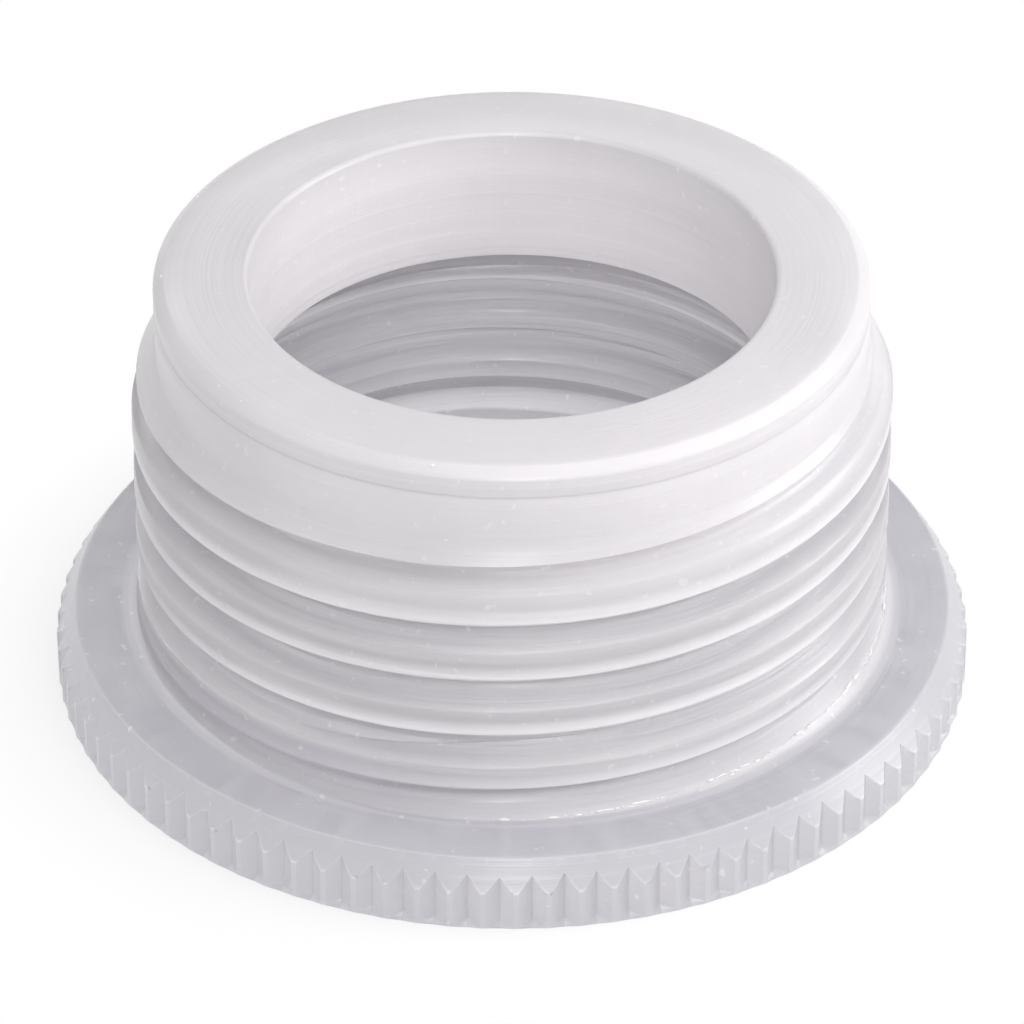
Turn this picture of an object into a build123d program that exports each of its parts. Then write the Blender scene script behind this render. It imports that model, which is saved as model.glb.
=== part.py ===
from build123d import *
from math import cos, radians, sin, tau
import os

# Bottle thread adapter, turned from one piece of natural plastic. It stands on the underside of its
# flange: +Z runs up the common axis of both threads, with the origin at the centre of the underside.
# Lengths are in millimetres, angles in degrees counter-clockwise from +X.

# Flange
flange_diameter = 55.0
flange_thickness = 4.3
bevel_width = 1.15
bevel_height = 1.72

# Straight knurl round the flange
knurl_count = 91
knurl_depth = 0.62
knurl_tip_width = 0.3
knurl_angle = -91.5

# Neck
total_height = 27.3
neck_fillet = 1.0
lead_length = 4.8
lead_taper_length = 2.1
lead_clearance = 0.1
rim_bevel_width = 0.75
rim_bevel_height = 0.55

# Male thread on the neck
male_diameter = 45.0
male_depth = 1.4
male_pitch = 4.0
male_under_flank = 0.35
male_root_width = 0.4
male_upper_flank = 0.6
male_shoulder_depth = 0.3
male_shoulder_run = 0.42
male_start_angle = -140.0
run_in_angle = 60.0
run_in_lift = 0.3
run_in_land = 0.45
run_in_root_width = 0.1

# Bore through the top
bore_diameter = 30.9
bore_length = 8.8
bore_edge_radius = 0.3

# Female thread inside
female_diameter = 38.0
female_depth = 1.1
female_pitch = 3.6
female_under_flank = 0.45
female_root_width = 1.0
female_upper_flank = 0.9
female_start_angle = -40.0
relief_clearance = 0.1
relief_length = 2.2
entry_chamfer = 1.5

# Thread cutting tools
tool_overlap = 0.6
end_margin = 0.5
section_step = 20.0
full_turn = 360.0

flange_radius = flange_diameter / 2
male_radius = male_diameter / 2
male_root_radius = male_radius - male_depth
lead_radius = male_root_radius - lead_clearance
lead_height = total_height - lead_length
bore_radius = bore_diameter / 2
bore_floor = total_height - bore_length
female_radius = female_diameter / 2
female_crest_radius = female_radius - female_depth
relief_radius = female_radius + relief_clearance
relief_floor = bore_floor - relief_length


def outer_outline():
    """Outside of the blank as (radius, height) points, from the underside up to the rim."""
    bevel_base = flange_thickness - bevel_height
    return [
        (flange_radius, 0),
        (flange_radius, bevel_base),
        (flange_radius - bevel_width, flange_thickness),
        (male_radius, flange_thickness),
        (male_radius, lead_height - lead_taper_length),
        (lead_radius, lead_height),
        (lead_radius, total_height - rim_bevel_height),
        (lead_radius - rim_bevel_width, total_height),
    ]


def inner_outline():
    """Inside of the blank as (radius, height) points, from the rim down to the underside."""
    return [
        (bore_radius, total_height),
        (bore_radius, bore_floor),
        (relief_radius, bore_floor),
        (relief_radius, relief_floor),
        (female_crest_radius, relief_floor),
        (female_crest_radius, entry_chamfer),
        (female_crest_radius + entry_chamfer, 0),
    ]


def corner(sketch, radius, height):
    """The outline corner at a radius and height."""
    return sketch.vertices().sort_by_distance((radius, 0, height))[0]


def turned_blank():
    """Body of revolution before its threads and knurl are cut."""
    outline = [(radius, 0, height) for radius, height in outer_outline() + inner_outline()]
    half = make_face(Polyline(*outline, close=True))
    half = fillet(corner(half, male_radius, flange_thickness), neck_fillet)
    half = fillet(corner(half, bore_radius, total_height), bore_edge_radius)
    return revolve(half, axis=Axis.Z)


def knurl_star():
    """Prism with one V groove for each knurl pitch; its points stand clear of the flange edge."""
    half_pitch = tau * flange_radius / knurl_count / 2
    half_tip = knurl_tip_width / 2
    point_rise = knurl_depth * half_tip / (half_pitch - half_tip)
    root_radius = flange_radius - knurl_depth
    step = full_turn / knurl_count
    points = []
    for index in range(knurl_count):
        angle = knurl_angle + index * step
        points.append(Vector(root_radius, 0).rotate(Axis.Z, angle))
        points.append(Vector(flange_radius + point_rise, 0).rotate(Axis.Z, angle + step / 2))
    return extrude(make_face(Polyline(*points, close=True)), total_height)


def on_line(first, second, radius):
    """Point at a radius on the straight line through two (radius, height) points."""
    share = (radius - first[0]) / (second[0] - first[0])
    return radius, first[1] + share * (second[1] - first[1])


def radial_section(points, angle):
    """Closed outline of (radius, height) points in the radial plane at an angle."""
    turn = radians(angle)
    return Wire.make_polygon(
        [Vector(radius * cos(turn), radius * sin(turn), height) for radius, height in points],
        close=True,
    )


def helical_groove(profile, pitch, start_angle, start_height, end_height):
    """Right-hand groove between two heights, as one loft for each turn.

    profile gives the groove's (radius, height) points for a height on the helix and the angle
    turned since the start.
    """
    total_angle = full_turn * (end_height - start_height) / pitch
    step_count = round(total_angle / section_step)
    steps_per_turn = round(full_turn / section_step)
    sections = []
    for index in range(step_count + 1):
        turned = total_angle * index / step_count
        height = start_height + pitch * turned / full_turn
        sections.append(radial_section(profile(height, turned), start_angle + turned))
    return [
        Solid.make_loft(sections[first : first + steps_per_turn + 1])
        for first in range(0, step_count, steps_per_turn)
    ]


def male_groove_profile(height, turned):
    """Groove under a male ridge whose lower edge is at the height; it runs in from the surface."""
    tool_radius = male_radius + tool_overlap
    root_top = height - male_under_flank
    root_base = root_top - male_root_width
    shoulder = (male_radius - male_shoulder_depth, root_base - male_upper_flank)
    crest_edge = (male_radius, shoulder[1] - male_shoulder_run)
    points = [
        on_line((male_root_radius, root_top), (male_radius, height), tool_radius),
        (male_root_radius, root_top),
        (male_root_radius, root_base),
        shoulder,
        on_line(shoulder, crest_edge, tool_radius),
    ]
    share = min(turned / run_in_angle, 1)
    lift = (1 - share) * (male_depth + run_in_lift)
    floor = flange_thickness + run_in_land
    return [(radius + lift, max(level, floor)) for radius, level in points]


def male_grooves():
    """Cutting tools of the male thread, from just above the flange to past the lead taper."""
    start_height = flange_thickness + run_in_land + run_in_root_width + male_under_flank
    groove_width = male_under_flank + male_root_width + male_upper_flank + male_shoulder_run
    end_height = lead_height + groove_width + end_margin
    return helical_groove(male_groove_profile, male_pitch, male_start_angle, start_height, end_height)


def female_groove_profile(height, turned):
    """Groove under a female ridge whose lower edge is at the height, kept below the bore's floor."""
    tool_radius = female_crest_radius - tool_overlap
    root_top = (female_radius, height - female_under_flank)
    root_base = (female_radius, root_top[1] - female_root_width)
    crest_edge = (female_crest_radius, root_base[1] - female_upper_flank)
    points = [
        on_line(root_top, (female_crest_radius, height), tool_radius),
        root_top,
        root_base,
        on_line(root_base, crest_edge, tool_radius),
    ]
    ceiling = bore_floor - relief_clearance
    return [(radius, min(level, ceiling)) for radius, level in points]


def female_grooves():
    """Cutting tools of the female thread, from below the underside up into the relief."""
    groove_width = female_under_flank + female_root_width + female_upper_flank
    return helical_groove(
        female_groove_profile,
        female_pitch,
        female_start_angle,
        -end_margin,
        relief_floor + groove_width,
    )


def thread_adapter():
    """The finished adapter, one solid."""
    body = turned_blank() & knurl_star()
    for groove in male_grooves() + female_grooves():
        body -= groove
    return body


os.makedirs("parts", exist_ok=True)
adapter = thread_adapter()
export_step(adapter, "parts/thread_adapter.step")
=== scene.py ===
"""Turned, natural-plastic bottle thread adapter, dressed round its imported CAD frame."""

from math import cos, pi, radians, sin

import bmesh
import bpy
from bpy.props import FloatProperty, FloatVectorProperty, IntProperty, PointerProperty
from bpy.types import Operator, Panel, PropertyGroup
from mathutils import Matrix, Vector


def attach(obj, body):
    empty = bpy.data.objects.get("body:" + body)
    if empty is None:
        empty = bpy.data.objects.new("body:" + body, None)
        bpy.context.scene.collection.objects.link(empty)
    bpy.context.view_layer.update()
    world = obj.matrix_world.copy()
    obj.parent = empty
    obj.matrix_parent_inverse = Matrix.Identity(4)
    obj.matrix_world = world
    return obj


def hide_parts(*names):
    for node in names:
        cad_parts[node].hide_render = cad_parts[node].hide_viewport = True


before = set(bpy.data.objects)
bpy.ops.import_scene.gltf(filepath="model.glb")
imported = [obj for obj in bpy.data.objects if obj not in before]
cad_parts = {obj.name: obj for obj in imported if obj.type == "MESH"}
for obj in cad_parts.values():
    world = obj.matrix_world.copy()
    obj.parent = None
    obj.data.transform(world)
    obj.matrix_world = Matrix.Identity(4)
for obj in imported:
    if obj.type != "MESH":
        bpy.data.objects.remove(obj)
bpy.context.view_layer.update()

bl_info = {
    "name": "Bottle thread adapter",
    "version": (1, 0, 0),
    "blender": (4, 5, 0),
    "location": "3D View > Sidebar > Adapter",
    "description": "Builds a turned plastic bottle thread adapter with its finish and a photo studio",
    "category": "Object",
}

NODE = "thread_adapter"
BODY = "root"
SLOT = "natural_plastic"

# The section is written in millimetres and made metres when it is turned.
MM = 0.001

# Edges sharper than this many degrees aren't smoothed over.
SHARP_ANGLE = 33

# Zones of the section: plain turned rows, the two threads, and the knurled wall and its bevel.
TURNED, MALE, FEMALE, KNURL_WALL, KNURL_BEVEL = range(5)


# ---------------------------------------------------------------- settings


def number(title, description, default, **limits):
    """A value that the sidebar shows."""
    return FloatProperty(name=title, description=description, default=default, **limits)


class AdapterSizes(PropertyGroup):
    """Sizes of the adapter in millimetres."""

    flange_radius: number("Flange radius", "Radius over the knurl", 27.498)
    flange_thickness: number("Flange thickness", "Height of the flange", 4.3)
    flange_top_radius: number("Flange top radius", "Where the flange's top meets its bevel", 26.35)
    bevel_width: number("Bevel width", "Width that gives the bevel's slope where a groove cuts it", 1.15)
    bevel_height: number("Bevel height", "Height of the bevel on the flange's edge", 1.72)
    knurl_teeth: IntProperty(name="Knurl teeth", description="Grooves round the flange", default=91, min=3)
    knurl_depth: number("Knurl depth", "Depth of one groove", 0.62)
    knurl_angle: number("Knurl angle", "Angle of one groove from the front, in degrees", -1.52)
    neck_radius: number("Neck radius", "Radius over the male thread", 22.5)
    male_depth: number("Male depth", "Depth of the male thread", 1.4)
    male_lead: number("Male lead", "Rise of the male thread in a turn", 3.8)
    taper_start: number("Taper start", "Height where the thread starts to taper to the lead ring", 20.0)
    lead_start: number("Lead start", "Height of the lead ring's lower edge", 22.5)
    male_start: number("Male start", "Height of the lowest male ridge at the front", 6.2)
    lead_radius: number("Lead radius", "Radius of the ring above the thread", 21.0)
    rim_groove_height: number("Rim groove height", "Height of the fine groove below the rim", 25.5)
    total_height: number("Total height", "Height of the rim", 27.3)
    bore_radius: number("Bore radius", "Radius of the bore through the top", 15.45)
    seat_height: number("Seat height", "Height of the seat below the bore", 18.5)
    relief_radius: number("Relief radius", "Radius of the relief below the seat", 19.1)
    relief_height: number("Relief height", "Height of the relief's floor", 16.3)
    female_radius: number("Female crest radius", "Clear radius in the female thread", 17.9)
    female_depth: number("Female depth", "Depth of the female thread", 1.1)
    female_lead: number("Female lead", "Rise of the female thread in a turn", 3.6)
    female_start: number("Female start", "Height of a female ridge's lower edge at the front", 9.8)


class PlasticLook(PropertyGroup):
    """Finish of the natural plastic."""

    # Painted shade and painted light: the value stored on the mesh mixes from the first colour to the second.
    thick_colour: FloatVectorProperty(
        name="Painted shade colour", description="Colour of the most painted shade", subtype="COLOR", size=3,
        default=(0.59, 0.58, 0.63),
    )
    thin_colour: FloatVectorProperty(
        name="Painted light colour", description="Colour of the most painted light", subtype="COLOR", size=3,
        default=(0.985, 0.955, 0.975),
    )
    roughness: number("Roughness", "Roughness between tool marks", 0.32, min=0, max=1)
    marks: number("Tool marks", "Height of the turned lines", 0.00006, unit="LENGTH")


class StudioLook(PropertyGroup):
    """Floor, lights and camera."""

    right_power: number("Right power", "Power of the low softbox on the right", 0.21)
    front_power: number("Front power", "Power of the small lamp in front", 0.2)
    top_power: number("Top power", "Power of the softbox overhead", 0.09)
    surround: number("Surround", "Strength of the white room", 0.6)
    shadow_share: number("Floor shading", "How much of the floor's own shading shows", 0.3, min=0, max=1)


# ---------------------------------------------------------------- node rules


class Value:
    """One value in a node tree, so that a rule reads as plain arithmetic."""

    def __init__(self, tree, socket):
        self.tree = tree
        self.socket = socket

    def math(self, operation, *others):
        node = self.tree.nodes.new("ShaderNodeMath")
        node.operation = operation
        for slot, item in zip(node.inputs, (self, *others)):
            plug(self.tree, item, slot)
        return Value(self.tree, node.outputs[0])

    def __add__(self, other):
        return self.math("ADD", other)

    def __sub__(self, other):
        return self.math("SUBTRACT", other)

    def __mul__(self, other):
        return self.math("MULTIPLY", other)

    def __truediv__(self, other):
        return self.math("DIVIDE", other)

    def __radd__(self, other):
        return self * 1 + other

    def __rsub__(self, other):
        return self * -1 + other

    __rmul__ = __mul__

    def low(self, other):
        return self.math("MINIMUM", other)

    def high(self, other):
        return self.math("MAXIMUM", other)

    def floor(self):
        return self.math("FLOOR")

    def smooth(self, start, end):
        """0 below start, 1 above end, eased between."""
        node = self.tree.nodes.new("ShaderNodeMapRange")
        node.interpolation_type = "SMOOTHSTEP"
        plug(self.tree, self, node.inputs["Value"])
        plug(self.tree, start, node.inputs["From Min"])
        plug(self.tree, end, node.inputs["From Max"])
        return Value(self.tree, node.outputs["Result"])

    def curve(self, points):
        """The value read off a curve of straight pieces through the points."""
        node = self.tree.nodes.new("ShaderNodeFloatCurve")
        line = node.mapping.curves[0]
        for x, y in points[1:-1]:
            line.points.new(x, y)
        ends = (line.points[0], line.points[-1])
        for end, place in zip(ends, (points[0], points[-1])):
            end.location = place
        for point in line.points:
            point.handle_type = "VECTOR"
        node.mapping.update()
        plug(self.tree, self, node.inputs["Value"])
        return Value(self.tree, node.outputs["Value"])


def plug(tree, item, slot):
    """Feeds a socket from a rule's value, or sets it to a constant."""
    if isinstance(item, Value):
        tree.links.new(item.socket, slot)
    elif hasattr(item, "is_output"):
        tree.links.new(item, slot)
    else:
        slot.default_value = item


def add_node(tree, kind, values=None, **settings):
    """A node with its properties set and its inputs fed by name."""
    node = tree.nodes.new(kind)
    for name, setting in settings.items():
        setattr(node, name, setting)
    for name, item in (values or {}).items():
        plug(tree, item, node.inputs[name])
    return node


def arrange(tree, column_width=220, row_height=190, rows=12):
    """Lays a tree's nodes out in columns in the order they were made."""
    for index, node in enumerate(tree.nodes):
        node.location = (index // rows * column_width, -(index % rows) * row_height)


def new_tree(name, kind, inputs, outputs):
    """An empty group tree with named inputs and outputs, and its two end nodes."""
    tree = bpy.data.node_groups.new(name, kind)
    for title, socket_type, default in inputs:
        socket = tree.interface.new_socket(title, in_out="INPUT", socket_type=socket_type)
        if default is not None:
            socket.default_value = default
    for title, socket_type in outputs:
        tree.interface.new_socket(title, in_out="OUTPUT", socket_type=socket_type)
    return tree, tree.nodes.new("NodeGroupInput"), tree.nodes.new("NodeGroupOutput")


# ---------------------------------------------------------------- section of the turning


def arc(radius, height, size, start, end, steps):
    """Points of a rounded edge round a centre in the section; 0 degrees points outwards, 90 up."""
    angles = [radians(start + (end - start) * step / steps) for step in range(steps + 1)]
    return [(radius + size * cos(angle), height + size * sin(angle)) for angle in angles]


# Depth of the groove as a share of its full depth, against the phase: 0 is the lower edge of a
# ridge, its crest lies below 0.5 and the groove above it runs from 0.5 to the next ridge at 1.
MALE_CURVE = (
    (0, 0.26), (0.02, 0.13), (0.05, 0.04), (0.09, 0), (0.3, 0), (0.46, 0.01), (0.49, 0.03), (0.5, 0.06),
    (0.51, 0.1), (0.54, 0.2), (0.6, 0.48), (0.66, 0.76), (0.71, 0.93), (0.74, 0.97), (0.75, 0.98),
    (0.76, 0.99), (0.8, 1), (0.9, 1), (0.93, 0.93), (0.955, 0.8), (0.98, 0.52), (1, 0.26),
)
FEMALE_CURVE = (
    (0, 0.12), (0.03, 0), (0.31, 0), (0.35, 0.04), (0.39, 0.15), (0.56, 0.86), (0.61, 0.99), (0.65, 1),
    (0.83, 1), (0.875, 0.93), (0.92, 0.65), (0.97, 0.28), (1, 0.12),
)

# Painted light and shade against the phase: the lips are painted light, as if lit through the thin edge, the
# upper shoulder carries a painted highlight, and the groove just under the next lip is painted shade.
MALE_PAINTED_LIGHT = (
    (0, 1), (0.13, 1), (0.2, 0.72), (0.42, 0.7), (0.5, 1), (0.56, 0.74), (0.7, 0.66), (0.86, 0.55),
    (0.9, 0), (0.96, 0.1), (0.985, 1), (1, 1),
)
FEMALE_PAINTED_LIGHT = (
    (0, 1), (0.03, 0.95), (0.08, 0.6), (0.31, 0.55), (0.36, 0.75), (0.42, 0.45), (0.9, 0.2),
    (0.96, 0.7), (1, 1),
)

# The male thread is cut twice. The line where the second cut takes over starts at LINE_START turns
# and is followed for LINE_LENGTH. Its place is a share of the groove, and the rows at LINE_ROW of
# the groove ride on it, while those above KEPT_FROM keep their place.
LINE_START = 0.8
LINE_LENGTH = 0.5
LINE_ROW = 0.5
KEPT_FROM = 0.8
SECOND_CUT_LINE = (
    (0, 0.3), (0.16, 0.12), (0.3, 0.3), (0.4, 0.55), (0.52, 0.68), (0.634, 0.79), (0.8, 0.6), (1, 0.5),
)

# Phases of a ridge's upper shoulder and of the rows that ride on the line.
SHOULDER_PHASE = 0.5
LINE_PHASE = 0.75

# Turns over which the second cut reaches its depth, below the line and above it, and over which the
# burr on the edges starts and ends.
CUT_BELOW = (0.84, 0.95)
CUT_ABOVE = (1.1, 1.16)
BURR_STARTS = (-0.14, -0.04)
BURR_ENDS = (1.04, 1.12)

# Sizes in millimetres: how high over the flange the male thread starts and is clear of it, how high
# over the underside the female one starts, and the fillet between the flange and the neck.
MALE_FOOT = 0.14
MALE_FULL = 0.4
FEMALE_FOOT = 1.5
NECK_FILLET = 1.0

# Radii in millimetres of the underside's rows, from the female thread's lead-in outwards.
UNDERSIDE_RADII = (19.55, 21.5, 24.5, 26.7)

# Painted light and clearness of each surface. The first value mixes from the painted shade colour at 0 to the
# painted light colour at 1: the rim, its edge, the lead ring and the bore are painted light, as if lit
# through the wall, and the flange, the knurl and the relief are painted shade.
UNDERSIDE_LOOK = (0.3, 0.5)
KNURL_WALL_LOOK = (-0.1, 0.66)
KNURL_BEVEL_LOOK = (0.1, 0.6)
FLANGE_TOP_LOOK = (0, 0.6)
FILLET_LOOK = (0.15, 0.6)
THREAD_LOOK = (0, 0.62)
LEAD_LOOK = (0.9, 0.42)
RIM_EDGE_LOOK = (1, 0.4)
RIM_LOOK = (0.95, 0.44)
MOUTH_LOOK = (0.8, 0.4)
BORE_LOOK = (1, 0.15)
SEAT_LOOK = (0.7, 0.4)
RELIEF_LOOK = (0.5, 0.5)


def thread_rows(zone, curve, low, high):
    """Rows of one thread from a turn below its low end to its high end, in order of height."""
    margin = 0.05
    phases = [x for x, _ in curve[:-1]]
    first, last = int(low // 1) - 1, int(high // 1) + 1
    rows = [(ridge, phase) for ridge in range(first, last + 1) for phase in phases]
    kept = [(ridge, phase) for ridge, phase in rows if low - 1 - margin <= ridge + phase <= high + margin]
    return [(0, 0, zone, ridge, phase, *THREAD_LOOK) for ridge, phase in kept]


def turned_rows(points, tone, clear):
    """Plain rows through points of radius, height and, where it differs, painted light."""
    lit_points = [point if len(point) > 2 else (*point, tone) for point in points]
    return [(radius, height, TURNED, 0, 0, own_painted_light, clear) for radius, height, own_painted_light in lit_points]


def thread_ends(sizes):
    """Lowest and highest turn of the male and the female thread."""
    male_heights = (sizes.flange_thickness + MALE_FOOT, sizes.lead_start)
    female_heights = (FEMALE_FOOT, sizes.relief_height)
    male = [(height - sizes.male_start) / sizes.male_lead for height in male_heights]
    female = [(height - sizes.female_start) / sizes.female_lead for height in female_heights]
    return male, female


def flange_rows(sizes):
    """Rows of the underside, the knurled wall, its bevel and the flange's top up to the neck."""
    top, edge = sizes.flange_thickness, sizes.flange_top_radius
    centre = (sizes.neck_radius + NECK_FILLET, top + NECK_FILLET)
    rows = turned_rows([(19.45, 0.03)], *UNDERSIDE_LOOK)
    rows += turned_rows([(radius, 0) for radius in UNDERSIDE_RADII], *UNDERSIDE_LOOK)
    # A knurled row's radius is how far it is drawn in from the wall, here for the lower edge.
    rows += [(0.1, 0, KNURL_WALL, 0, 0, *KNURL_WALL_LOOK)]
    rows += [(0, 0, KNURL_WALL, 0, phase, *KNURL_WALL_LOOK) for phase in (0.05, 0.11, 0.5, 0.94)]
    rows += [(0, 0, KNURL_BEVEL, 0, phase, *KNURL_BEVEL_LOOK) for phase in (0.0, 0.06, 0.5, 0.94)]
    # The flange's top edge carries a painted highlight, fading onto the top.
    rows += turned_rows([(edge + 0.03, top - 0.045, 0.35), (edge - 0.12, top, 0.08)], *FLANGE_TOP_LOOK)
    rows += turned_rows([(25.2, top), (23.9, top)], *FLANGE_TOP_LOOK)
    return rows + turned_rows(arc(*centre, NECK_FILLET, 270, 240, 3)[:-1], *FILLET_LOOK)


def top_rows(sizes):
    """Rows of the lead ring, the rim, the bore, the seat and the relief below it."""
    top, lead, start = sizes.total_height, sizes.lead_radius, sizes.lead_start
    bore, relief, seat = sizes.bore_radius, sizes.relief_radius, sizes.seat_height
    groove, half_groove, groove_depth, groove_painted_shade = sizes.rim_groove_height, 0.12, 0.05, 0.5
    mouth = 0.3
    rows = turned_rows([(lead, start + 0.05), (lead, (start + groove) / 2)], *LEAD_LOOK)
    rows += turned_rows([(lead, groove - half_groove)], *LEAD_LOOK)
    # The fine groove below the rim is painted shade.
    rows += turned_rows([(lead - groove_depth, groove, groove_painted_shade)], *LEAD_LOOK)
    rows += turned_rows([(lead, groove + half_groove), (lead, 26.6)], *LEAD_LOOK)
    rows += turned_rows([(lead - 0.03, 26.74), (lead - 0.11, 26.85)], *RIM_EDGE_LOOK)
    rows += turned_rows([(lead - 0.6, 27.2), (lead - 0.72, 27.27)], *RIM_EDGE_LOOK)
    rows += turned_rows([(lead - 0.86, top), (18.6, top), (16.8, top), (bore + 0.4, top)], *RIM_LOOK)
    rows += turned_rows(arc(bore + mouth, top - mouth, mouth, 90, 180, 4), *MOUTH_LOOK)
    rows += turned_rows([(bore, height) for height in (24.5, 21.5, 19.6, 18.75)], *BORE_LOOK)
    rows += turned_rows([(bore + 0.03, 18.59)], *BORE_LOOK)
    rows += turned_rows([(bore + 0.12, seat), (17.2, seat), (relief - 0.1, seat)], *SEAT_LOOK)
    rows += turned_rows([(relief, seat - 0.1)], *SEAT_LOOK)
    return rows + turned_rows([(relief, 16.45), (relief - 0.04, sizes.relief_height + 0.02)], *RELIEF_LOOK)


def section_rows(sizes):
    """The closed section, from the underside's inner edge outwards and round.

    A row holds its radius, height, zone, ridge, phase, painted light and clearness.
    """
    male_ends, female_ends = thread_ends(sizes)
    male = thread_rows(MALE, MALE_CURVE, *male_ends)
    female = thread_rows(FEMALE, FEMALE_CURVE, *female_ends)
    return flange_rows(sizes) + male + top_rows(sizes) + female[::-1]


def rows_object(rows):
    """The section as a hidden strip of points with each row's rule stored on it."""
    mesh = bpy.data.meshes.new("section")
    mesh.from_pydata([(radius, 0, height) for radius, height, *_ in rows], [], [])
    fields = (("zone", "INT"), ("ridge", "FLOAT"), ("phase", "FLOAT"), ("tone", "FLOAT"), ("clear", "FLOAT"))
    for place, (name, kind) in enumerate(fields, start=2):
        layer = mesh.attributes.new(name, kind, "POINT")
        layer.data.foreach_set("value", [row[place] for row in rows])
    return bpy.data.objects.new("section", mesh)


# Half a groove's width as a share of the knurl's pitch, and the columns across one pitch: the
# groove's floor, just beside it, the land's two edges and just past the second one.
GROOVE_HALF = 0.42
KNURL_COLUMNS = (0, 0.05, GROOVE_HALF, 1 - GROOVE_HALF, 0.64)


def columns_object(sizes):
    """The stations round the axis as turns from the front, five to a knurl groove."""
    teeth = sizes.knurl_teeth
    start = sizes.knurl_angle / 360
    stations = [(tooth + share) / teeth for tooth in range(teeth) for share in KNURL_COLUMNS]
    stations.append(1 + stations[0])
    mesh = bpy.data.meshes.new("stations")
    mesh.from_pydata([(start + station, 0, 0) for station in stations], [], [])
    return bpy.data.objects.new("stations", mesh)


# ---------------------------------------------------------------- turning tree


THREAD_INPUTS = (
    ("Turn", 0), ("Ridge", 0), ("Phase", 0), ("Start", 0), ("Lead", 1), ("Low", 0), ("High", 1),
    ("Crest share", 0.5), ("Crest growth", 0), ("Radius", 1), ("Depth", 1),
)
CUT_INPUTS = (("Run-in start", -1), ("Run-in length", 0.1), ("First cut", 0.66), ("Burr", 0.1))


def on_the_line(upper, edge_turn):
    """Moves the rows of a groove, given as shares of it, so that some ride on the second cut's line."""
    line = ((edge_turn - LINE_START) / LINE_LENGTH).high(0).low(1).curve(SECOND_CUT_LINE)
    between = ((upper - LINE_ROW) / (KEPT_FROM - LINE_ROW)).high(0).low(1)
    return upper.low(LINE_ROW) / LINE_ROW * line + between * (KEPT_FROM - line) + (upper - KEPT_FROM).high(0)


def cut_twice(tree, get, edge_turn, cut, tone):
    """Cut and painted light of a thread whose first turn is shallow, with the burr along its edges."""
    phase, first = get["Phase"], get["First cut"]
    start_painted_light = 0.3
    run_in = edge_turn.smooth(get["Run-in start"], get["Run-in start"] + get["Run-in length"])
    second = edge_turn.smooth(*CUT_BELOW)
    below = first + (1 - first) * second
    above = first + (1 - first) * edge_turn.smooth(*CUT_ABOVE)
    side = phase.smooth(LINE_PHASE - 0.015, LINE_PHASE + 0.015).high(1 - phase.smooth(0.2, 0.3))
    cut = cut * run_in * (below + (above - below) * side)
    # Where the thread runs in, its painted light and shade ease to a middle value.
    tone = (tone - start_painted_light) * run_in + start_painted_light

    # The burr follows the ridge's upper shoulder, and then the line of the second cut.
    on_shoulder = 1 - ((phase - SHOULDER_PHASE).math("ABSOLUTE") * 100).low(1)
    on_line = 1 - ((phase - LINE_PHASE).math("ABSOLUTE") * 110).low(1)
    shoulder_part = on_shoulder * edge_turn.smooth(*BURR_STARTS) * (1 - second)
    line_part = on_line * second * (1 - edge_turn.smooth(*BURR_ENDS))
    edges = shoulder_part + line_part
    settings = {"W": edge_turn, "Scale": 70.0, "Detail": 2.0}
    rough = add_node(tree, "ShaderNodeTexNoise", settings, noise_dimensions="1D")
    jagged = Value(tree, rough.outputs["Fac"]).smooth(0.4, 0.75)
    cut = cut - edges * jagged * get["Burr"] / get["Depth"]
    # The burred edges are painted light, as thin plastic lit through.
    tone = tone.high(edges * (jagged * 0.5 + 0.5))
    return cut, tone


def thread_group(name, curve, painted_light_curve, outward):
    """Group that gives a thread's radius, height and painted light at a row and a turn.

    A row lies at a phase of a ridge: 0 at the ridge's lower edge, 0.5 at its upper shoulder. It
    climbs with the turn, and stops at the thread's ends.
    """
    titles = THREAD_INPUTS + CUT_INPUTS if outward else THREAD_INPUTS
    inputs = [(title, "NodeSocketFloat", default) for title, default in titles]
    outputs = [(title, "NodeSocketFloat") for title in ("Radius", "Height", "Painted light")]
    tree, given, result = new_tree(name, "GeometryNodeTree", inputs, outputs)
    get = {title: Value(tree, given.outputs[title]) for title, *_ in inputs}
    turn, phase, ridge = get["Turn"], get["Phase"], get["Ridge"]
    upper = (phase * 2 - 1).high(0)
    lower = (phase * 2).low(1)
    crest = get["Crest share"] + get["Crest growth"] * (ridge + phase + turn)
    if outward:
        edge_turn = (phase + 0.6).floor() + ridge + turn
        upper = on_the_line(upper, edge_turn)
        early = (1 - edge_turn).high(0)
        crest = crest + early * early * 0.15 * phase.smooth(0.3, 0.5)
    along = ridge + crest * lower + (1 - crest) * upper + turn
    along = along.high(get["Low"]).low(get["High"])
    place = along - turn
    part = place - place.floor()
    true_phase = (part / crest).low(1) * 0.5 + ((part - crest) / (1 - crest)).high(0) * 0.5
    cut = true_phase.curve(curve)
    tone = true_phase.curve(painted_light_curve)
    if outward:
        cut, tone = cut_twice(tree, get, edge_turn, cut, tone)
    cut = cut * get["Depth"]
    radius = get["Radius"] - cut if outward else get["Radius"] + cut
    plug(tree, radius, result.inputs["Radius"])
    plug(tree, get["Start"] + get["Lead"] * along, result.inputs["Height"])
    plug(tree, tone, result.inputs["Painted light"])
    arrange(tree)
    return tree


def thread_values(tree, group, values):
    """Radius, height and painted light that a thread's group gives for its inputs."""
    node = add_node(tree, "GeometryNodeGroup", values, node_tree=group)
    return [Value(tree, node.outputs[title]) for title in ("Radius", "Height", "Painted light")]


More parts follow.
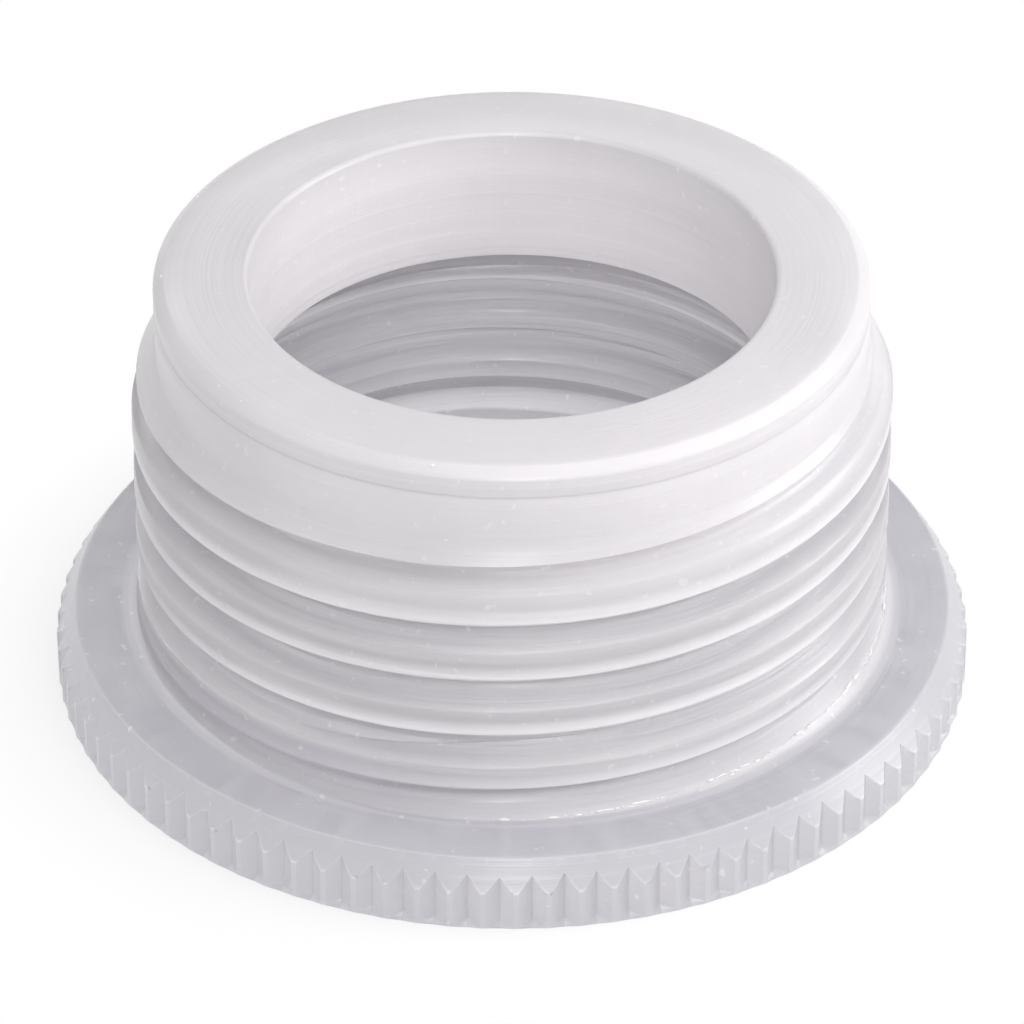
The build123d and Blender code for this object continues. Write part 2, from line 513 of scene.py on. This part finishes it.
def male_thread(tree, sizes, turn, ridge, phase):
    """Radius, height and painted light of the male thread, with its taper and the fillet at the flange."""
    low, high = thread_ends(sizes)[0]
    name = "male thread"
    group = bpy.data.node_groups.get(name) or thread_group(name, MALE_CURVE, MALE_PAINTED_LIGHT, True)
    values = {
        "Turn": turn, "Ridge": ridge, "Phase": phase, "Start": sizes.male_start, "Lead": sizes.male_lead,
        "Low": low, "High": high, "Crest share": 0.41, "Crest growth": 0.055, "Radius": sizes.neck_radius,
        "Depth": sizes.male_depth, "Run-in start": -0.13, "Run-in length": 0.2,
    }
    radius, height, tone = thread_values(tree, group, values)
    root = sizes.flange_thickness
    gap = (root + NECK_FILLET - height).high(0)
    fillet = NECK_FILLET - (NECK_FILLET * NECK_FILLET - gap * gap).math("SQRT")
    closing = height.smooth(root + MALE_FOOT, root + MALE_FULL)
    radius = sizes.neck_radius - (sizes.neck_radius - radius) * closing
    slope = (sizes.neck_radius - sizes.lead_radius) / (sizes.lead_start - sizes.taper_start)
    radius = radius.low(sizes.neck_radius - (height - sizes.taper_start).high(0) * slope) + fillet
    return radius, height, tone


def female_thread(tree, sizes, turn, ridge, phase):
    """Radius, height and painted light of the female thread."""
    low, high = thread_ends(sizes)[1]
    values = {
        "Turn": turn, "Ridge": ridge, "Phase": phase, "Start": sizes.female_start,
        "Lead": sizes.female_lead, "Low": low, "High": high, "Radius": sizes.female_radius,
        "Depth": sizes.female_depth,
    }
    return thread_values(tree, thread_group("female thread", FEMALE_CURVE, FEMALE_PAINTED_LIGHT, False), values)


def knurl(tree, sizes, get, turn, phase, tone, radius):
    """Radii, heights and painted light of the knurled wall and of the bevel above it."""
    groove_place = (turn - sizes.knurl_angle / 360) * get["Teeth"]
    number_of_groove = (groove_place + 0.5).floor()
    beside = groove_place - number_of_groove
    from_groove = beside.math("ABSOLUTE")
    chance = add_node(tree, "ShaderNodeTexWhiteNoise", noise_dimensions="1D")
    plug(tree, number_of_groove.math("FLOORED_MODULO", get["Teeth"]) + get["Seed"], chance.inputs["W"])
    unevenness = Value(tree, chance.outputs["Value"]) * 0.16 + 0.88
    groove = ((GROOVE_HALF - from_groove) / GROOVE_HALF).high(0).low(1) * get["Knurl depth"] * unevenness
    star = sizes.flange_radius - groove
    slope = sizes.bevel_height / sizes.bevel_width
    star_height = (sizes.flange_thickness - sizes.bevel_height) + groove * slope
    # The grooves run out just above the underside, so that its edge is a smooth circle.
    run_out = phase.smooth(-0.02, 0.12)
    radii = (
        sizes.flange_radius - groove * run_out - radius,
        star + (sizes.flange_top_radius - star) * phase,
    )
    heights = (star_height * phase, star_height + (sizes.flange_thickness - star_height) * phase)
    # Painted light and shade: the lands and the flank lit from the right are painted lighter, the wall is
    # painted darker towards the floor, and the bevel's lower edge carries a painted highlight, strongest on
    # the lands.
    land = from_groove.smooth(0.38, GROOVE_HALF)
    lit_right_flank = beside.smooth(0.0, 0.05) * (1 - land)
    painted_lights = (
        tone + land * 0.35 + lit_right_flank * 0.5 - (1 - phase) * 0.1,
        tone + (1 - phase.smooth(0, 0.06)) * (0.25 + land * 0.4),
    )
    return radii, heights, painted_lights


def by_zone(tree, zone, *choices):
    """The value of the row's own zone, out of one for each zone."""
    node = add_node(tree, "GeometryNodeIndexSwitch", data_type="FLOAT")
    while len(node.index_switch_items) < len(choices):
        node.index_switch_items.new()
    plug(tree, zone, node.inputs["Index"])
    for place, choice in enumerate(choices):
        plug(tree, choice, node.inputs[str(place)])
    return Value(tree, node.outputs["Output"])


def round_axis(tree, radius, height, turn):
    """Position in metres at a radius and height in millimetres, some turns from the front."""
    angle = turn * (2 * pi)
    places = {
        "X": radius * MM * angle.math("SINE"), "Y": radius * MM * angle.math("COSINE") * -1,
        "Z": height * MM,
    }
    return add_node(tree, "ShaderNodeCombineXYZ", places).outputs[0], angle


def stored(tree, geometry, name, level):
    """The geometry with a value stored on its points."""
    values = {"Geometry": geometry, "Name": name, "Value": level}
    kind = "GeometryNodeStoreNamedAttribute"
    return add_node(tree, kind, values, data_type="FLOAT", domain="POINT").outputs["Geometry"]


def sample(tree, geometry, kind, item, index):
    """Reads an attribute or a field of another geometry's point."""
    node = add_node(tree, "GeometryNodeSampleIndex", data_type=kind, domain="POINT")
    plug(tree, geometry, node.inputs["Geometry"])
    plug(tree, item, node.inputs["Value"])
    plug(tree, index, node.inputs["Index"])
    return node.outputs["Value"]


def named(tree, name, kind):
    """The values of a named attribute."""
    node = add_node(tree, "GeometryNodeInputNamedAttribute", {"Name": name}, data_type=kind)
    return node.outputs["Attribute"]


def turning_tree(sizes, row_count, column_count):
    """Tree that turns the section round the axis, threads it and knurls its flange."""
    inputs = [
        ("Geometry", "NodeSocketGeometry", None), ("Section", "NodeSocketObject", None),
        ("Stations", "NodeSocketObject", None), ("Rows", "NodeSocketInt", row_count),
        ("Columns", "NodeSocketInt", column_count), ("Teeth", "NodeSocketInt", sizes.knurl_teeth),
        ("Knurl depth", "NodeSocketFloat", sizes.knurl_depth), ("Seed", "NodeSocketInt", 4),
        ("Material", "NodeSocketMaterial", None),
    ]
    tree, given, result = new_tree(
        "turned and threaded body", "GeometryNodeTree", inputs, [("Geometry", "NodeSocketGeometry")]
    )
    get = {title: Value(tree, given.outputs[title]) for title, _, _ in inputs}
    rows = get["Rows"]
    grid = add_node(
        tree, "GeometryNodeMeshGrid",
        {"Size X": 1.0, "Size Y": 1.0, "Vertices X": get["Columns"], "Vertices Y": rows + 1},
    )
    # The small share keeps a whole quotient from being floored to the column before.
    index = Value(tree, add_node(tree, "GeometryNodeInputIndex").outputs[0])
    column = (index / (rows + 1) + 0.00001).floor()
    row = (index - column * (rows + 1)).math("FLOORED_MODULO", rows)

    section = add_node(tree, "GeometryNodeObjectInfo", {"Object": get["Section"]}).outputs["Geometry"]
    stations = add_node(tree, "GeometryNodeObjectInfo", {"Object": get["Stations"]}).outputs["Geometry"]
    position = add_node(tree, "GeometryNodeInputPosition").outputs[0]
    row_place = sample(tree, section, "FLOAT_VECTOR", position, row)
    place = add_node(tree, "ShaderNodeSeparateXYZ", {"Vector": row_place})
    radius, height = Value(tree, place.outputs["X"]), Value(tree, place.outputs["Z"])
    zone = sample(tree, section, "INT", named(tree, "zone", "INT"), row)
    ridge, phase, tone, clear = (
        Value(tree, sample(tree, section, "FLOAT", named(tree, name, "FLOAT"), row))
        for name in ("ridge", "phase", "tone", "clear")
    )
    station_place = sample(tree, stations, "FLOAT_VECTOR", position, column)
    station = add_node(tree, "ShaderNodeSeparateXYZ", {"Vector": station_place})
    turn = Value(tree, station.outputs["X"])

    male_radius, male_height, male_painted_light = male_thread(tree, sizes, turn, ridge, phase)
    female_radius, female_height, female_painted_light = female_thread(tree, sizes, turn, ridge, phase)
    radii, heights, painted_lights = knurl(tree, sizes, get, turn, phase, tone, radius)

    # Towards the top the thread takes on the lead ring's painted light. Below, its lips are less clear.
    top_share = male_height.smooth(sizes.taper_start - 3, sizes.lead_start)
    male_painted_light = male_painted_light + (0.85 - male_painted_light) * top_share
    lip = (1 - phase.smooth(0.12, 0.2)).high(phase.smooth(0.955, 0.985))
    male_clear = clear + (LEAD_LOOK[1] - clear) * top_share
    male_clear = male_clear - lip * 0.35 * (1 - top_share)

    final_radius = by_zone(tree, zone, radius, male_radius, female_radius, *radii)
    final_height = by_zone(tree, zone, height, male_height, female_height, *heights)
    spot, _ = round_axis(tree, final_radius, final_height, turn)
    final_painted_light = by_zone(tree, zone, tone, male_painted_light, female_painted_light, *painted_lights)
    final_clear = by_zone(tree, zone, clear, male_clear, clear, clear, clear)
    geometry = stored(tree, grid.outputs["Mesh"], "tone", final_painted_light)
    geometry = stored(tree, geometry, "clear", final_clear)
    shaped = add_node(tree, "GeometryNodeSetPosition", {"Geometry": geometry, "Position": spot})
    seam = {"Geometry": shaped.outputs[0], "Distance": 0.000006}
    merged = add_node(tree, "GeometryNodeMergeByDistance", seam)
    real = add_node(tree, "GeometryNodeRealizeInstances", {"Geometry": merged.outputs[0]})
    finish = add_node(
        tree, "GeometryNodeSetMaterial", {"Geometry": real.outputs[0], "Material": get["Material"]}
    )
    tree.links.new(finish.outputs[0], result.inputs["Geometry"])
    arrange(tree)
    return tree


# Where the burrs lie: turns along the thread's first turn, heights on the knurl's tips and on the
# rim, and how far inside the flange's and the lead ring's radius. Above KNURL_SHARE of its draw a
# burr lies on the knurl, and above RIM_SHARE on the rim.
BURR_TURNS = (-0.03, 0.3)
KNURL_BURR_HEIGHTS = (2.4, 2.62)
RIM_BURR_HEIGHTS = (27.02, 27.1)
KNURL_BURR_INSET = 0.13
RIM_BURR_INSET = 0.5
KNURL_SHARE = 0.45
RIM_SHARE = 0.86


def burr_tree(sizes):
    """Tree that strews small slivers along the thread's first turn, the knurl's tips and the rim."""
    inputs = [
        ("Geometry", "NodeSocketGeometry", None), ("Count", "NodeSocketInt", 480),
        ("Seed", "NodeSocketInt", 11), ("Smallest", "NodeSocketFloat", 0.03),
        ("Largest", "NodeSocketFloat", 0.17), ("Material", "NodeSocketMaterial", None),
    ]
    outputs = [("Geometry", "NodeSocketGeometry")]
    tree, given, result = new_tree("turning burrs", "GeometryNodeTree", inputs, outputs)
    get = {title: Value(tree, given.outputs[title]) for title, _, _ in inputs}
    line = add_node(tree, "GeometryNodeMeshLine", {"Count": get["Count"]})
    index = add_node(tree, "GeometryNodeInputIndex").outputs[0]

    def chance(draw, low, high):
        node = add_node(tree, "FunctionNodeRandomValue", {"ID": index}, data_type="FLOAT")
        ends = [item for item in node.inputs if item.type == "VALUE"]
        plug(tree, low, ends[0])
        plug(tree, high, ends[1])
        plug(tree, get["Seed"] + draw, node.inputs["Seed"])
        return Value(tree, next(item for item in node.outputs if item.type == "VALUE"))

    share = chance(0, 0.0, 1.0)
    thread_turn = chance(1, *BURR_TURNS)
    lowest_ridge = -1.0
    thread_radius, thread_height, _ = male_thread(tree, sizes, thread_turn, lowest_ridge, SHOULDER_PHASE)
    land_side = (chance(2, 0.0, 1.0) + 0.5).floor() * (1 - 2 * GROOVE_HALF)
    knurl_place = chance(3, 0.0, float(sizes.knurl_teeth)).floor() + GROOVE_HALF + land_side
    knurl_turn = knurl_place / sizes.knurl_teeth + sizes.knurl_angle / 360
    rim_turn = chance(4, 0.5, 1.0)
    on_knurl = share.math("GREATER_THAN", KNURL_SHARE)
    on_rim = share.math("GREATER_THAN", RIM_SHARE)

    def placed(thread, knurled, rim):
        return thread + (knurled - thread) * on_knurl + (rim - knurled) * on_rim

    turn = placed(thread_turn, knurl_turn, rim_turn)
    knurl_radius = sizes.flange_radius - KNURL_BURR_INSET
    radius = placed(thread_radius, knurl_radius, sizes.lead_radius - RIM_BURR_INSET)
    thread_height = thread_height + chance(5, -0.12, 0.12)
    height = placed(thread_height, chance(6, *KNURL_BURR_HEIGHTS), chance(7, *RIM_BURR_HEIGHTS))
    spot, angle = round_axis(tree, radius, height, turn)
    spread = add_node(tree, "GeometryNodeSetPosition", {"Geometry": line.outputs[0], "Position": spot})
    sliver = add_node(tree, "GeometryNodeMeshIcoSphere", {"Radius": 1.0, "Subdivisions": 1})
    heading = add_node(tree, "FunctionNodeEulerToRotation")
    plug(tree, add_node(tree, "ShaderNodeCombineXYZ", {"Z": angle}).outputs[0], heading.inputs[0])
    spare = get["Largest"] - get["Smallest"]
    size = (get["Smallest"] + spare * chance(8, 0.0, 1.0) * chance(9, 0.0, 1.0)) * MM
    length = size * (1 + 2.5 * chance(10, 0.0, 1.0) * (1 - on_knurl))
    scale = add_node(tree, "ShaderNodeCombineXYZ", {"X": length, "Y": size * 0.7, "Z": size * 0.75})
    slivers = add_node(
        tree, "GeometryNodeInstanceOnPoints",
        {
            "Points": spread.outputs[0], "Instance": sliver.outputs["Mesh"], "Rotation": heading.outputs[0],
            "Scale": scale.outputs[0],
        },
    )
    real = add_node(tree, "GeometryNodeRealizeInstances", {"Geometry": slivers.outputs[0]})
    # The burrs are painted with the full painted light, as thin plastic lit through.
    geometry = stored(tree, real.outputs[0], "tone", 1.0)
    geometry = stored(tree, geometry, "clear", 0.0)
    finish = add_node(tree, "GeometryNodeSetMaterial", {"Geometry": geometry, "Material": get["Material"]})
    tree.links.new(finish.outputs[0], result.inputs["Geometry"])
    arrange(tree)
    return tree


def socket_id(tree, title):
    """Identifier of a tree's input, which a modifier's value is set by."""
    return next(
        item.identifier for item in tree.interface.items_tree if item.name == title and item.in_out == "INPUT"
    )


def made_by_tree(name, tree, values):
    """The plain mesh object that a geometry tree gives for its inputs."""
    holder = bpy.data.objects.new(name + "_holder", bpy.data.meshes.new(name + "_holder"))
    bpy.context.scene.collection.objects.link(holder)
    modifier = holder.modifiers.new("rule", "NODES")
    modifier.node_group = tree
    for title, value in values.items():
        modifier[socket_id(tree, title)] = value
    graph = bpy.context.evaluated_depsgraph_get()
    mesh = bpy.data.meshes.new_from_object(holder.evaluated_get(graph), depsgraph=graph)
    holder.modifiers.remove(modifier)
    bpy.data.objects.remove(holder)
    mesh.name = name
    piece = bpy.data.objects.new(name, mesh)
    bpy.context.scene.collection.objects.link(piece)
    return piece


# ---------------------------------------------------------------- plastic


def tool_mark_group():
    """Group of the fine turned rings: their height and a mask of rubbed streaks."""
    inputs = [("Spacing", "NodeSocketFloat", 0.0004), ("Waver", "NodeSocketFloat", 0.3)]
    outputs = [("Height", "NodeSocketFloat"), ("Streaks", "NodeSocketFloat")]
    tree, given, result = new_tree("tool marks", "ShaderNodeTree", inputs, outputs)
    spacing = Value(tree, given.outputs["Spacing"])
    coordinates = add_node(tree, "ShaderNodeTexCoord").outputs["Object"]
    split = add_node(tree, "ShaderNodeSeparateXYZ", {"Vector": coordinates})
    x, y, z = (Value(tree, split.outputs[axis]) for axis in "XYZ")
    radius = (x * x + y * y).math("SQRT")
    patches = {"Vector": coordinates, "Scale": 90.0, "Detail": 2.0}
    drift = add_node(tree, "ShaderNodeTexNoise", patches, noise_dimensions="3D")
    wander = (Value(tree, drift.outputs["Fac"]) - 0.5) * Value(tree, given.outputs["Waver"])
    stretched = {"X": radius / spacing + wander, "Y": z / spacing + wander, "Z": wander}
    ring = add_node(tree, "ShaderNodeCombineXYZ", stretched)
    lines = {"Vector": ring.outputs[0], "Scale": 1.0, "Detail": 3.0, "Roughness": 0.6}
    rings = add_node(tree, "ShaderNodeTexNoise", lines)
    plug(tree, rings.outputs["Fac"], result.inputs["Height"])
    patch = Value(tree, drift.outputs["Fac"]).smooth(0.35, 0.75)
    plug(tree, Value(tree, rings.outputs["Fac"]).smooth(0.5, 0.8) * patch, result.inputs["Streaks"])
    arrange(tree)
    return tree


def mixed_colour(tree, share, first, second):
    """A colour between two, by a share."""
    node = add_node(tree, "ShaderNodeMix", data_type="RGBA")
    plug(tree, share, node.inputs["Factor"])
    for socket, colour in zip([item for item in node.inputs if item.type == "RGBA"], (first, second)):
        socket.default_value = (*colour, 1)
    return next(item for item in node.outputs if item.type == "RGBA")


def natural_plastic(look):
    """Milky, slightly translucent plastic as it comes off the lathe."""
    material = bpy.data.materials.new(SLOT)
    material.use_nodes = True
    tree = material.node_tree
    shader = next(node for node in tree.nodes if node.type == "BSDF_PRINCIPLED")
    marks = add_node(tree, "ShaderNodeGroup", node_tree=tool_mark_group())
    bump = add_node(
        tree, "ShaderNodeBump", {"Height": marks.outputs["Height"], "Distance": look.marks, "Strength": 1.0}
    )
    roughness = Value(tree, marks.outputs["Streaks"]) * 0.12 + look.roughness
    # Painted light and shade stored on the mesh, with tone from streaks, specks and clouds added: 0 takes the
    # painted shade colour and 1 the painted light colour.
    tone = Value(tree, add_node(tree, "ShaderNodeAttribute", attribute_name="tone").outputs["Fac"])
    tone = tone + (Value(tree, marks.outputs["Streaks"]) - 0.3) * 0.3
    place = add_node(tree, "ShaderNodeTexCoord").outputs["Object"]
    dust = add_node(tree, "ShaderNodeTexNoise", {"Vector": place, "Scale": 1500.0, "Detail": 1.0})
    cloud = add_node(tree, "ShaderNodeTexNoise", {"Vector": place, "Scale": 110.0, "Detail": 3.0})
    tone = tone + Value(tree, dust.outputs["Fac"]).smooth(0.7, 0.78) * 0.5
    tone = tone + (Value(tree, cloud.outputs["Fac"]) - 0.5) * 0.35
    clear = add_node(tree, "ShaderNodeAttribute", attribute_name="clear").outputs["Fac"]
    colour = mixed_colour(tree, tone, look.thick_colour, look.thin_colour)
    for title, item in {
        "Base Color": colour, "Transmission Weight": clear, "IOR": 1.49, "Roughness": roughness,
        "Normal": bump.outputs["Normal"], "Coat Weight": 0.2, "Coat Roughness": 0.2, "Coat IOR": 1.45,
    }.items():
        plug(tree, item, shader.inputs[title])
    arrange(tree)
    return material


# ---------------------------------------------------------------- operators


class ADAPTER_OT_body(Operator):
    """Turn, thread and knurl the adapter"""

    bl_idname = "adapter.body"
    bl_label = "Thread adapter"

    def execute(self, context):
        sizes = context.scene.adapter_sizes
        material = natural_plastic(context.scene.adapter_plastic)
        rows = section_rows(sizes)
        section, stations = rows_object(rows), columns_object(sizes)
        tree = turning_tree(sizes, len(rows), len(stations.data.vertices))
        values = {"Section": section, "Stations": stations, "Material": material}
        piece = made_by_tree("adapter", tree, values)
        for helper in (section, stations):
            bpy.data.meshes.remove(helper.data)
        if not piece.data.polygons:
            raise RuntimeError("the section gave no surface")
        face_outwards(piece.data)
        piece.data.shade_smooth()
        piece.data.set_sharp_from_angle(angle=radians(SHARP_ANGLE))
        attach(piece, BODY)
        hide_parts(NODE)
        return {"FINISHED"}


class ADAPTER_OT_burrs(Operator):
    """Leave small burrs along the thread's first turn, the knurl and the rim"""

    bl_idname = "adapter.burrs"
    bl_label = "Turning burrs"

    def execute(self, context):
        tree = burr_tree(context.scene.adapter_sizes)
        piece = made_by_tree("burrs", tree, {"Material": bpy.data.materials[SLOT]})
        if not piece.data.polygons:
            raise RuntimeError("no burrs were made")
        face_outwards(piece.data)
        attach(piece, BODY)
        return {"FINISHED"}


def face_outwards(mesh):
    """Clears degenerate faces of a mesh and turns its faces outwards."""
    form = bmesh.new()
    form.from_mesh(mesh)
    bmesh.ops.remove_doubles(form, verts=form.verts, dist=0.0000005)
    bmesh.ops.dissolve_degenerate(form, dist=0.0000001, edges=form.edges)
    bmesh.ops.recalc_face_normals(form, faces=form.faces)
    form.to_mesh(mesh)
    form.free()


class ADAPTER_OT_stage(Operator):
    """Set up the floor, lights and camera"""

    bl_idname = "adapter.stage"
    bl_label = "Studio"

    def execute(self, context):
        look = context.scene.adapter_studio
        make_floor(look)
        make_lights(look)
        make_world(look)
        make_camera()
        context.scene.view_settings.view_transform = "Standard"
        return {"FINISHED"}


# Distances in metres from the axis over which the floor's own shading fades out.
SHADED_TO = (0.026, 0.036)


def make_floor(look):
    """Wide white floor, which keeps some of its own shading."""
    mesh = bpy.data.meshes.new("floor")
    side = 3.0
    corners = [(-side, -side, 0), (side, -side, 0), (side, side, 0), (-side, side, 0)]
    mesh.from_pydata(corners, [], [(0, 1, 2, 3)])
    floor = bpy.data.objects.new("floor", mesh)
    bpy.context.scene.collection.objects.link(floor)
    material = bpy.data.materials.new("white floor")
    material.use_nodes = True
    tree = material.node_tree
    tree.nodes.clear()
    diffuse = add_node(tree, "ShaderNodeBsdfDiffuse", {"Color": (0.93, 0.93, 0.93, 1)})
    glow = add_node(tree, "ShaderNodeEmission", {"Color": (1, 1, 1, 1), "Strength": 1.0})
    path = add_node(tree, "ShaderNodeLightPath")
    seen = Value(tree, path.outputs["Is Camera Ray"]).high(Value(tree, path.outputs["Is Glossy Ray"]))
    seen = seen.high(Value(tree, path.outputs["Is Transmission Ray"]))
    place = add_node(tree, "ShaderNodeTexCoord").outputs["Object"]
    length = add_node(tree, "ShaderNodeVectorMath", {0: place}, operation="LENGTH")
    reach = Value(tree, length.outputs["Value"])
    shaded = 1 - reach.smooth(*SHADED_TO)
    seen = seen * (1 - look.shadow_share * shaded)
    mix = add_node(tree, "ShaderNodeMixShader", {"Fac": seen})
    tree.links.new(diffuse.outputs[0], mix.inputs[1])
    tree.links.new(glow.outputs[0], mix.inputs[2])
    output = add_node(tree, "ShaderNodeOutputMaterial")
    tree.links.new(mix.outputs[0], output.inputs["Surface"])
    arrange(tree)
    mesh.materials.append(material)


def make_lights(look):
    """Softboxes aimed at the middle of the neck: power, size, place."""
    target = Vector((0, 0, 0.015))
    boxes = (
        ("top", look.top_power, 0.16, (0.03, -0.04, 0.13)),
        ("right", look.right_power, 0.12, (0.20, 0.0, 0.08)),
        ("front", look.front_power, 0.04, (0.0, -0.30, 0.21)),
    )
    for name, power, size, place in boxes:
        light = bpy.data.lights.new(name, "AREA")
        light.shape = "SQUARE"
        light.size = size
        light.energy = power
        lamp = bpy.data.objects.new(name, light)
        lamp.location = place
        lamp.rotation_euler = (target - Vector(place)).to_track_quat("-Z", "Y").to_euler()
        bpy.context.scene.collection.objects.link(lamp)


def make_world(look):
    """White room that lights softly and is plain white behind the object."""
    world = bpy.data.worlds.new("white room")
    bpy.context.scene.world = world
    world.use_nodes = True
    tree = world.node_tree
    tree.nodes.clear()
    room = add_node(tree, "ShaderNodeBackground", {"Color": (1, 1, 1, 1), "Strength": look.surround})
    seen = add_node(tree, "ShaderNodeBackground", {"Color": (1, 1, 1, 1), "Strength": 1.0})
    path = add_node(tree, "ShaderNodeLightPath")
    mix = add_node(tree, "ShaderNodeMixShader", {"Fac": path.outputs["Is Camera Ray"]})
    tree.links.new(room.outputs[0], mix.inputs[1])
    tree.links.new(seen.outputs[0], mix.inputs[2])
    output = add_node(tree, "ShaderNodeOutputWorld")
    tree.links.new(mix.outputs[0], output.inputs["Surface"])
    arrange(tree)


def make_camera():
    """Camera above the front, looking down at the neck."""
    elevation, distance, target_height = radians(34.353), 0.393394, 0.012
    lens = bpy.data.cameras.new("camera")
    lens.sensor_width = 36
    lens.lens = 231.50
    lens.shift_x = 0.0001
    lens.shift_y = -0.0250
    lens.clip_start = 0.01
    camera = bpy.data.objects.new("camera", lens)
    back = Vector((0, -cos(elevation), sin(elevation)))
    up = Vector((0, sin(elevation), cos(elevation)))
    place = back * distance + Vector((0, 0, target_height))
    camera.matrix_world = Matrix(
        (
            (1, up.x, back.x, place.x),
            (0, up.y, back.y, place.y),
            (0, up.z, back.z, place.z),
            (0, 0, 0, 1),
        )
    )
    bpy.context.scene.collection.objects.link(camera)
    bpy.context.scene.camera = camera


class ADAPTER_PT_panel(Panel):
    """Lists the adapter's steps"""

    bl_idname = "ADAPTER_PT_panel"
    bl_label = "Bottle thread adapter"
    bl_space_type = "VIEW_3D"
    bl_region_type = "UI"
    bl_category = "Adapter"

    def draw(self, context):
        for step in STEPS:
            self.layout.operator(step.bl_idname)
        for group_name in GROUPS:
            group = getattr(context.scene, group_name)
            for name in group.__annotations__:
                self.layout.prop(group, name)


STEPS = (ADAPTER_OT_body, ADAPTER_OT_burrs, ADAPTER_OT_stage)
GROUPS = {"adapter_sizes": AdapterSizes, "adapter_plastic": PlasticLook, "adapter_studio": StudioLook}


def register():
    for name, group in GROUPS.items():
        bpy.utils.register_class(group)
        setattr(bpy.types.Scene, name, PointerProperty(type=group))
    for item in (*STEPS, ADAPTER_PT_panel):
        bpy.utils.register_class(item)


def unregister():
    for item in (ADAPTER_PT_panel, *reversed(STEPS)):
        bpy.utils.unregister_class(item)
    for name, group in GROUPS.items():
        delattr(bpy.types.Scene, name)
        bpy.utils.unregister_class(group)


def main():
    register()
    for step in STEPS:
        group, name = step.bl_idname.split(".")
        getattr(getattr(bpy.ops, group), name)()


if __name__ == "__main__":
    main()
